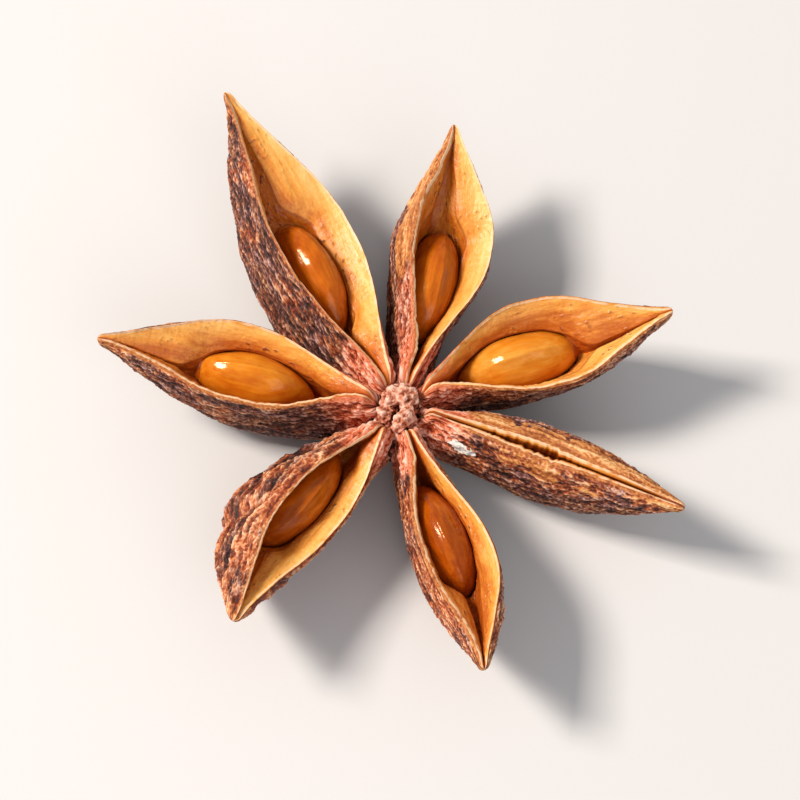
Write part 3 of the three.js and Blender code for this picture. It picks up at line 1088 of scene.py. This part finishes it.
@dataclass(frozen=True)
class CarpelShell:
    """The modelled shell of one carpel: its wrinkled skin, ragged rim and smooth lining."""

    carpel: Carpel
    tube: Tube
    template: bpy.types.Mesh
    fine_steps: int = 400  # how finely a section's surface is measured
    even_steps: int = 100  # and into how many equal steps it is then divided
    rim_bulge: float = 0.1  # how far the split edge is rounded up
    face_bulge: float = 0.12  # how far the lining's face along the edge stands out
    end_round: float = 0.02  # share of the length over which each end is rounded off
    flake_at: tuple[float, float] = (4.5, 1.3)  # how far out and under the edge the flake is
    flake_size: tuple[float, float] = (0.88, 0.5)  # half its length and height

    def even_shares(self, zone: Zone) -> Array:
        """Return the section's heights, in equal steps along its surface.

        Args:
            zone: The skin, from keel to split edge, or the lining, from crease to split edge.

        Returns:
            For the skin its share of the height, and for the lining its place on the slope, at
            equal steps.
        """
        along = np.full(self.fine_steps, 0.5)
        share = np.linspace(0, 1, self.fine_steps)
        if zone == Zone.SKIN:
            spots = self.carpel.outer_half_width(along, share), self.carpel.depth_at(along) * share
        else:
            height = self.carpel.depth_at(along) * self.carpel.crease_depth
            lined = 1 - self.carpel.crease_depth * (1 - share)
            thin = np.full(self.fine_steps, -1.0 if self.carpel.thick_side == 1 else 1.0)
            spots = self.carpel.inner_half_width(along, lined, share, thin), height * share
        length = np.cumsum(np.hypot(*np.diff(spots, prepend=0, axis=1)))
        return np.interp(np.linspace(0, length[-1], self.even_steps + 1), length, share)

    def smooth(self) -> dict[str, Array]:
        """Work out the smooth shell, row by row along the carpel and column by column round it.

        Returns:
            Arrays by name: spot, in the carpel's straight frame, along, side, under (the depth
            below the split edge), zone and fallen (how far down the lining, 0 to 1).
        """
        carpel = self.carpel
        column_zone, place = self.tube.zones()
        stations = np.linspace(0, 1, self.tube.stations + 1)
        along, zone = np.meshgrid(stations, column_zone, indexing="ij")
        place = np.broadcast_to(place, along.shape)
        skin, lining = zone == Zone.SKIN.value, zone == Zone.LINING.value
        signed = np.where(skin, 2 * place - 1, 1 - 2 * place)
        signed = np.where(zone == Zone.RIGHT_RIM.value, 1.0, signed)
        signed = np.where(zone == Zone.LEFT_RIM.value, -1.0, signed)
        side, span = np.where(signed < 0, -1.0, 1.0), np.abs(signed)
        steps = np.linspace(0, 1, self.even_steps + 1)
        depth = carpel.depth_at(along)

        skin_share = np.interp(span, steps, self.even_shares(Zone.SKIN))
        skin_width = carpel.outer_half_width(along, skin_share)
        slope = np.interp(span, steps, self.even_shares(Zone.LINING))
        lining_share = 1 - carpel.crease_depth * HOLLOW(along) * carpel.floor(along) * (1 - slope)
        lining_width = carpel.inner_half_width(along, lining_share, slope, side)
        inward = np.where(zone == Zone.RIGHT_RIM.value, place, 1 - place)
        outer_rim = carpel.outer_half_width(along, np.ones_like(along))
        rim_width = lerp(outer_rim, carpel.rim_half_width(along, side), inward)

        share = np.where(skin, skin_share, np.where(lining, lining_share, 1.0))
        width = np.where(skin, skin_width, np.where(lining, lining_width, rim_width))
        fallen = np.where(lining, 1 - slope, 0)
        across = side * width
        leaning = np.where(lining, across + carpel.lean(along, side, fallen), across)
        most = np.maximum(carpel.outer_half_width(along, share) - carpel.least_wall, np.abs(across))
        across = np.clip(leaning, -most, most)
        under = depth * (1 - share)
        out = carpel.out_at(along, share)
        bulge = np.where(skin | lining, 0, self.rim_bulge * np.sin(math.pi * inward))
        on_face = np.clip(fallen / carpel.fold_at(along), 0, 1)
        bulge += self.face_bulge * GAPE(along) * np.sin(math.pi * on_face)
        inner = np.where(skin, 0, np.where(lining, (1 - fallen) ** 2, inward**3))
        below = under - bulge + carpel.valley * inner - self.lip_lift(out, side, under, along)
        return {
            "spot": np.stack((out, across, below), axis=-1),
            "along": along,
            "side": side,
            "under": under,
            "zone": zone,
            "fallen": fallen,
        }

    def lip_lift(self, out: Array, side: Array, under: Array, along: Array) -> Array:
        """Return how far the split edge's waves and nicks raise each point.

        Args:
            out: How far out each point lies.
            side: Which side of the carpel it is on, -1 or 1.
            under: How far it is under the split edge.
            along: Its place along the carpel.

        Returns:
            The lift in millimetres.
        """
        place = self.carpel.edge_grain(out, side, 9, 31.7)
        slow = self.carpel.wave(np.clip(out, 0, self.carpel.reach), side) * np.exp(-under / 1.5)
        ragged = 0.035 * Grain(21, (0.6, 0.5, 0.5)).read(place)
        ragged += 0.03 * Grain(22, (0.22, 1, 1)).read(place)
        nick = -0.35 * np.maximum(Grain(23, (0.7, 0.8, 0.8)).read(place) - 0.55, 0)
        calm = smoothstep(along, 0.02, 0.15) * (1 - smoothstep(along, 0.9, 1))
        return slow + (ragged + nick) * np.exp(-under / 0.25) * calm

    def round_ends(self, places: Array) -> Array:
        """Draw the sections in at both ends, so that the beak and the inner end are rounded.

        Args:
            places: The shell's places, by row and column.

        Returns:
            The places once drawn in.
        """
        drawn = places.copy()
        rows = np.linspace(0, 1, len(places))
        for end, least in ((0.0, 0.55), (1.0, 0.12)):
            reach = np.clip(1 - np.abs(rows - end) / self.end_round, 0, 1)
            shrink = lerp(least, 1.0, np.sqrt(1 - reach**2))[:, None, None]
            centre = places.mean(axis=1, keepdims=True)
            drawn = np.where(shrink < 1, centre + (drawn - centre) * shrink, drawn)
        return drawn

    def from_edge(self, places: Array) -> Array:
        """Return each point's distance round the section from the split edge's inner corner.

        Args:
            places: The shell's places, by row and column.

        Returns:
            The distance in millimetres, under 0 outside and over 0 inside.
        """
        reach = np.linalg.norm(places - np.roll(places, 1, axis=1), axis=-1)
        skin, rim, lining, _ = self.tube.counts()
        right, left = skin + rim, skin + rim + lining
        run = np.cumsum(reach, axis=1)
        run -= run[:, :1]
        total = run[:, -1:] + reach[:, :1]
        to_right, to_left = run - run[:, right : right + 1], run - run[:, left : left + 1]
        behind = total - run[:, left : left + 1] + run
        outside = -np.minimum(np.abs(to_right), np.minimum(np.abs(to_left), behind))
        inside = np.minimum(np.abs(to_right), np.abs(to_left))
        column = np.arange(places.shape[1])
        return np.where((column >= right) & (column <= left), inside, outside)

    def grain_shift(self) -> float:
        """Return how far along this carpel's grain is shifted, so that no two are alike."""
        return 37.0 * self.carpel.number

    def skin_relief(self, spot: Array, root: Array, band: Array) -> tuple[Array, Array]:
        """Work out the skin's wrinkles, and the long grooves of the golden strips.

        Args:
            spot: Places in the carpel's straight frame, in millimetres.
            root: How close each is to the column, 0 to 1.
            band: How much of a golden strip each is in, 0 to 1.

        Returns:
            How far each stands out, in millimetres, and how much of a crest it is, 0 to 1, lowered
            down the flanks as painted shade.
        """
        folds, shift = self.carpel.folds, self.grain_shift()
        slant = spot.copy()
        slant[..., 0] += 1.4 * spot[..., 2]
        broad = Grain(31, (2.8, 1.5, 1.5)).read(spot)
        fold = Grain(32, (2.6, 0.85, 0.85)).crests(slant)
        cord = Grain(33, (1.0, 0.34, 0.34)).crests(spot)
        fine = Grain(34, (0.4, 0.16, 0.16)).crests(spot)
        lines = Grain(36, (3.5, 0.26, 0.26)).read(spot)
        knob = Grain(35, (0.6, 0.5, 0.5)).read(spot)
        lift = (0.08 + 0.06 * folds) * broad + 0.2 * folds * (fold - 0.5)
        lift += 0.11 * (cord - 0.5) + 0.09 * (fine - 0.5) + 0.18 * root * knob
        net = 0.3 * folds * fold + 0.25 * cord + 0.45 * fine + 0.2 * lines + 0.3 * root * knob
        crest = 0.5 + 0.24 * (net - net.mean()) / net.std()
        lift = lerp(lift, 0.12 * broad + 0.09 * lines + 0.06 * fine, band)
        for out, depth, wide in self.carpel.dents:
            dent = np.exp(-(((spot[..., 0] - shift - out - 0.5 * (spot[..., 2] - 3)) / wide) ** 2))
            lift -= depth * dent * smoothstep(spot[..., 2], 0.2, 2.2)
        # Painted shade: the skin is coloured darker further down its flanks.
        crest -= 0.1 * smoothstep(spot[..., 2], 2.0, 4.5)
        return lift, np.clip(lerp(crest, 0.4 + 0.35 * lines + 0.35 * fine, band), 0, 1)

    def lining_relief(self, spot: Array, fleck: Array) -> Array:
        """Work out the lining's soft swells, faint lengthwise lines and crumbs.

        Args:
            spot: Places in the grain, in millimetres.
            fleck: How much of a crumb each is in, 0 to 1.

        Returns:
            How far each stands out, in millimetres.
        """
        soft = Grain(41, (2.2, 1.0, 1.0)).read(spot)
        lines = Grain(42, (3.2, 0.3, 0.3)).read(spot)
        crumbs = Grain(43, (0.35, 0.25, 0.25)).read(spot)
        return 0.06 * soft + 0.02 * lines + 0.015 * crumbs + 0.07 * fleck

    def marks(
        self, smooth: dict[str, Array], edge: Array, moved: Array, grain: Array
    ) -> dict[str, Array]:
        """Work out the numbers that the finishes read.

        Args:
            smooth: The smooth shell's arrays.
            edge: Distance from the split edge.
            moved: How far the seed pressed each point.
            grain: Places for the grain.

        Returns:
            Numbers by name, each from 0 to about 1.
        """
        carpel = self.carpel
        along, side, zone = smooth["along"], smooth["side"], smooth["zone"]
        under, fallen = smooth["under"], smooth["fallen"]
        lining = zone == Zone.LINING.value
        on_thick, shut = side == carpel.thick_side, carpel.seed_at is None
        fold_at = carpel.fold_at(along)
        past_fold = smoothstep(fallen, fold_at - 0.04, fold_at + 0.1)
        # Painted shade: the pocket under the fold, and where the seed presses in, is coloured
        # darker.
        pocket_shade = np.maximum(past_fold, smoothstep(moved, 0.02, 0.12)) * lining
        pocket_shade *= smoothstep(along, 0.08, 0.22) * (1 - 0.6 * smoothstep(along, 0.86, 1))
        crumbs = smoothstep(Grain(52, (0.3, 0.22, 0.22)).read(grain), 0.2, 0.6)
        patches = smoothstep(Grain(53, (1.6, 1.6, 1.6)).read(grain), -0.2, 0.2)
        rim = carpel.rim_on(side)
        beside_pocket = within(moved, 0.015, 0.05, 0.03)
        at_crease = within(fallen, 0.8, 1, 0.15) * smoothstep(along, 0.55, 0.65)
        # Crumbs lie beside the pocket and at the crease; on the thick side a band of dark specks is
        # painted shade.
        shaded = within(edge, 0.45, 0.85, 0.2) * smoothstep(along, 0.45, 0.6) * on_thick
        fleck = crumbs * patches * np.clip(beside_pocket + at_crease + shaded, 0, 1) * lining
        # Painted shade: the lining darkens down towards its fold on the thin side, and all over the
        # thick side's wall.
        lining_shade = np.where(on_thick, carpel.flush, smoothstep(fallen / fold_at, 0.05, 0.9))
        worn = 0.75 + 0.5 * Grain(55, (0.6, 0.4, 0.4)).read(grain)
        # The pale line is the rim's own colour; on the shut carpel it is moved up onto the lips'
        # crest as a painted highlight.
        pale = within(edge + 0.3 * shut, -np.minimum(rim, 0.2) + 0.02, 0.02, 0.05) * worn
        # Painted shade: the shut carpel's lips darken towards the slit between them.
        valley = smoothstep(edge, -0.22, -0.04) * shut
        bare = Grain(54, (2.6, 1.4, 1.4)).read(grain)
        spots = Grain(56, (0.5, 0.3, 0.3)).read(grain)
        near = np.exp(edge / 1.3)
        rusted = 0.2 + 0.7 * bare + 0.5 * spots + 1.1 * (carpel.rust - 0.3) + 0.6 * near
        torn = edge + 0.7 * bare + 0.5 * spots
        beside = within(-torn, -2, carpel.band + rim, 0.6) * (side == carpel.band_side) * ~lining
        strip = beside * within(along + 0.12 * bare, carpel.band_from, carpel.band_to, 0.12)
        rubbed = within(-edge, 0, 1.6, 0.7) * smoothstep(bare + 0.6 * spots, 0.1, 0.5)
        strip = np.maximum(strip, 0.9 * rubbed * (side < 0) * shut)
        started = smoothstep(along + 0.06 * bare, carpel.band_from - 0.15, carpel.band_from)
        brim = np.clip(within(-edge, 0, rim + 0.05, 0.1) + strip, 0, 1)
        root = 1 - smoothstep(along + 0.04 * bare, 0.02, 0.26)
        return {
            # painted shade in the pocket, along the fold and in the slit
            "pocket_shade": np.maximum(pocket_shade, valley),
            "fold": np.maximum(4 * pocket_shade * (1 - pocket_shade), valley),
            "lining_shade": lining_shade,
            "fleck": fleck,
            "rust": np.clip(rusted, 0, 1),
            "band": brim,
            "tone": np.full(along.shape, carpel.pale),
            "root": np.maximum(root, 0.5 * beside * (1 - started)),
            "tip": smoothstep(along, 0.8, 1.0),
            "rim": pale,
            "flake": self.flake(smooth),
        }

    def flake(self, smooth: dict[str, Array]) -> Array:
        """Work out where a scrap of white inner skin clings to the shut carpel.

        Args:
            smooth: The smooth shell's arrays.

        Returns:
            How much of the scrap each place is in, 0 to 1.
        """
        if self.carpel.seed_at is not None:
            return np.zeros(smooth["along"].shape)
        spot = smooth["spot"]
        out = (spot[..., 0] - self.flake_at[0]) / self.flake_size[0]
        down = (smooth["under"] - self.flake_at[1]) / self.flake_size[1]
        torn = 0.35 * Grain(51, (0.3, 0.3, 0.3)).read(spot)
        near_side = smooth["side"] < 0
        return smoothstep(1 - np.hypot(out, down) + torn, 0, 0.12) * near_side

    def build(self) -> bpy.types.Object:
        """Model and dress the shell.

        Returns:
            Its object.
        """
        carpel = self.carpel
        smooth = self.smooth()
        places = self.round_ends(carpel.placed(smooth["spot"]))
        in_lining = smooth["zone"] == Zone.LINING.value
        moved = np.zeros(in_lining.shape)
        if carpel.seed_at is not None:
            pressed, moved = Seed(carpel).pressed(places)
            places = np.where(in_lining[..., None], pressed, places)
            moved = np.where(in_lining, moved, 0)
        edge = self.from_edge(places)
        grain = smooth["spot"] + np.array((self.grain_shift(), 0, 0))
        marks = self.marks(smooth, edge, moved, grain)
        relief, crest = self.skin_relief(grain, marks["root"], marks["band"])
        near = np.abs(edge)
        calm = lerp(0.2, 1.0, smoothstep(near, 0.2, 0.9))
        calm *= 1 - 0.7 * smoothstep(smooth["along"], 0.9, 1)
        is_skin = smooth["zone"] == Zone.SKIN.value
        lift = np.where(is_skin, relief * calm + 0.06 * marks["flake"], 0)
        lining = self.lining_relief(grain, marks["fleck"]) * smoothstep(near, 0, 0.5)
        lift = np.where(in_lining, lining, lift)

        mesh = self.template.copy()
        mesh.name = f"carpel_shell_{carpel.number}"
        row, column = (self.whole(mesh, name) for name in ("row", "column"))
        ring = np.clip(row, 0, self.tube.stations)

        def spread(numbers: Array) -> Array:
            """Take each vertex's number from its row and column."""
            return numbers[ring, column]

        co = spread(places)
        for end, at in ((-1, 0), (self.tube.stations + 1, -1)):
            co[row == end] = places[at].mean(axis=0)
        mesh.vertices.foreach_set("co", co.astype(np.float32).ravel())
        mesh.update()
        co += rows_of(mesh.vertex_normals, "vector") * spread(lift)[:, None]
        co[:, 2] = np.maximum(co[:, 2], 0)
        for name, numbers in {**marks, "crest": np.where(is_skin, crest, 0.5)}.items():
            keep(mesh, name, spread(numbers))
        keep(mesh, "grain", spread(grain))
        return dressed(mesh, co, (DriedBark(), PolishedWall()))

    def whole(self, mesh: bpy.types.Mesh, name: str) -> Array:
        """Read a whole number that each vertex keeps.

        Args:
            mesh: The mesh.
            name: The name that the numbers are kept under.

        Returns:
            One number for each vertex.
        """
        numbers = np.empty(len(mesh.vertices), dtype=np.int32)
        mesh.attributes[name].data.foreach_get("value", numbers)
        return numbers


@dataclass(frozen=True)
class Column:
    """The column that the carpels grow from, with its broken stalk and its lumpy head."""

    profile: tuple[tuple[float, float], ...] = (
        (0, 0), (1.3, 0), (1.15, 0.7), (1.5, 1.6), (2.2, 2.6), (2.5, 3.6),
        (2.2, 4.4), (1.7, 4.9), (1.1, 5.1), (0, 5.2),
    )
    # Each lump: its middle's x, y and z, its half length, width and height, and its direction.
    lumps: tuple[tuple[float, ...], ...] = (
        (-0.38, 0.66, 5.95, 0.85, 0.72, 0.9, 20.0),
        (0.34, 0.58, 6.05, 0.85, 0.74, 1.0, -50.0),
        (0.3, -0.92, 5.95, 1.05, 0.58, 1.0, 58.0),
        (-0.82, -0.42, 5.6, 0.7, 0.62, 0.7, 10.0),
    )
    head: tuple[float, float] = (5.3, 6.5)  # the heights over which the colour turns from painted shade below to paler lumps above
    steps: int = 150
    cuts: int = 11

    def build(self) -> bpy.types.Object:
        """Model and dress the column.

        Returns:
            Its object.
        """
        bm = bmesh.new()
        verts = [bm.verts.new((radius, 0, height)) for radius, height in self.profile]
        edges = [bm.edges.new(pair) for pair in zip(verts, verts[1:])]
        bmesh.ops.subdivide_edges(bm, edges=edges, cuts=self.cuts)
        bmesh.ops.spin(
            bm,
            geom=bm.verts[:] + bm.edges[:],
            cent=(0, 0, 0),
            axis=(0, 0, 1),
            angle=2 * math.pi,
            steps=self.steps,
            use_merge=True,
            use_duplicate=False,
        )
        bmesh.ops.remove_doubles(bm, verts=bm.verts, dist=1e-4)
        for x, y, z, half_length, half_width, half_height, turn in self.lumps:
            made = bmesh.ops.create_icosphere(bm, subdivisions=6, radius=1.0)["verts"]
            bmesh.ops.scale(bm, verts=made, vec=(half_length, half_width, half_height))
            spun = Matrix.Rotation(math.radians(turn), 3, "Z")
            bmesh.ops.rotate(bm, verts=made, cent=(0, 0, 0), matrix=spun)
            bmesh.ops.translate(bm, verts=made, vec=(x, y, z))
        bmesh.ops.recalc_face_normals(bm, faces=bm.faces)
        mesh = made_of(bm, "column_and_stalk")
        places = rows_of(mesh.vertices, "co")
        broad = Grain(61, (0.7, 0.7, 0.7)).read(places)
        cells = Grain(62, (0.36, 0.36, 0.36)).read(places)
        fine = Grain(63, (0.16, 0.16, 0.16)).read(places)
        lift = 0.16 * broad + 0.12 * cells + 0.06 * fine
        calm = smoothstep(places[:, 2], 0.0, 0.3)
        final = places + rows_of(mesh.vertex_normals, "vector") * (lift * calm)[:, None]
        painted_light_height = smoothstep(places[:, 2], *self.head)
        # Painted light: the lumps are coloured paler up on the head and darker lower down, as
        # painted shade.
        crest = 0.62 * painted_light_height + 0.5 * cells + 0.25 * broad + 0.25 * fine
        keep(mesh, "crest", np.clip(crest, 0, 1))
        keep(mesh, "grain", places)
        return dressed(mesh, final, (DryWood(),))


@dataclass(frozen=True)
class Studio:
    """The board, the soft lights and the camera."""

    elevation: float = 66.0  # degrees above the pod's own plane
    distance: float = 0.45
    view_width: float = 0.05  # how much the picture takes in, at the pod
    target: tuple[float, float, float] = (0.0, 0.0, 0.007)
    board_size: float = 3000.0  # half the board's side, in millimetres

    def board(self) -> bpy.types.Object:
        """Lay the pale board that the pod rests on.

        Returns:
            The board.
        """
        bm = bmesh.new()
        bmesh.ops.create_grid(bm, x_segments=1, y_segments=1, size=self.board_size)
        mesh = made_of(bm, "pale_board")
        laid = dressed(mesh, rows_of(mesh.vertices, "co"), (PaleBoard(),))
        return laid

    def lamp(
        self, name: str, place: tuple[float, float, float], size: float, power: float, colour: str
    ) -> bpy.types.Object:
        """Hang a soft square lamp that faces the pod.

        Args:
            name: The lamp's name.
            place: Where it hangs, in metres.
            size: Its side, in metres.
            power: Its power in watts.
            colour: Its colour.

        Returns:
            The lamp.
        """
        light = bpy.data.lights.new(name, "AREA")
        light.size = size
        light.energy = power
        light.color = linear(colour)[:3]
        lamp = bpy.data.objects.new(name, light)
        lamp.location = place
        aim = Vector(self.target) - Vector(place)
        lamp.rotation_euler = aim.to_track_quat("-Z", "Y").to_euler()
        bpy.context.scene.collection.objects.link(lamp)
        return lamp

    def camera(self) -> bpy.types.Object:
        """Set up the camera and make it the scene's own.

        Returns:
            The camera.
        """
        lens = bpy.data.cameras.new("camera")
        lens.sensor_width = 36.0
        lens.lens = lens.sensor_width * self.distance / self.view_width
        lens.clip_start = 0.01
        camera = bpy.data.objects.new("camera", lens)
        tilt = math.radians(self.elevation)
        away = Vector((0, -math.cos(tilt), math.sin(tilt))) * self.distance
        camera.location = Vector(self.target) + away
        camera.rotation_euler = (-away).to_track_quat("-Z", "Y").to_euler()
        bpy.context.scene.collection.objects.link(camera)
        bpy.context.scene.camera = camera
        return camera

    def build(self) -> None:
        """Set up the whole studio."""
        scene = bpy.context.scene
        scene.view_settings.view_transform = "Standard"
        world = bpy.data.worlds.new("soft_room")
        world.use_nodes = True
        background = world.node_tree.nodes["Background"]
        background.inputs["Color"].default_value = linear("#fbfaf8")
        background.inputs["Strength"].default_value = 0.4
        scene.world = world
        self.board()
        self.lamp("key_lamp", (-0.36, 0.06, 0.42), size=0.14, power=3.7, colour="#fff4e6")
        self.lamp("fill_lamp", (0.2, -0.4, 0.4), size=0.4, power=0.7, colour="#ffffff")
        self.camera()


def main() -> None:
    """Build the pod and its studio, and report each piece."""
    logging.basicConfig(level=logging.INFO, format="%(name)s: %(message)s")
    Studio().build()
    stand_for(Column().build(), "husk")
    tube = Tube()
    template = tube.mesh()
    for carpel in CARPELS:
        stand_for(CarpelShell(carpel, tube, template).build(), "husk")
        if carpel.seed_at is not None:
            stand_for(Seed(carpel).build(), f"seed_{carpel.number}")
    bpy.data.meshes.remove(template)


if __name__ == "__main__":
    main()
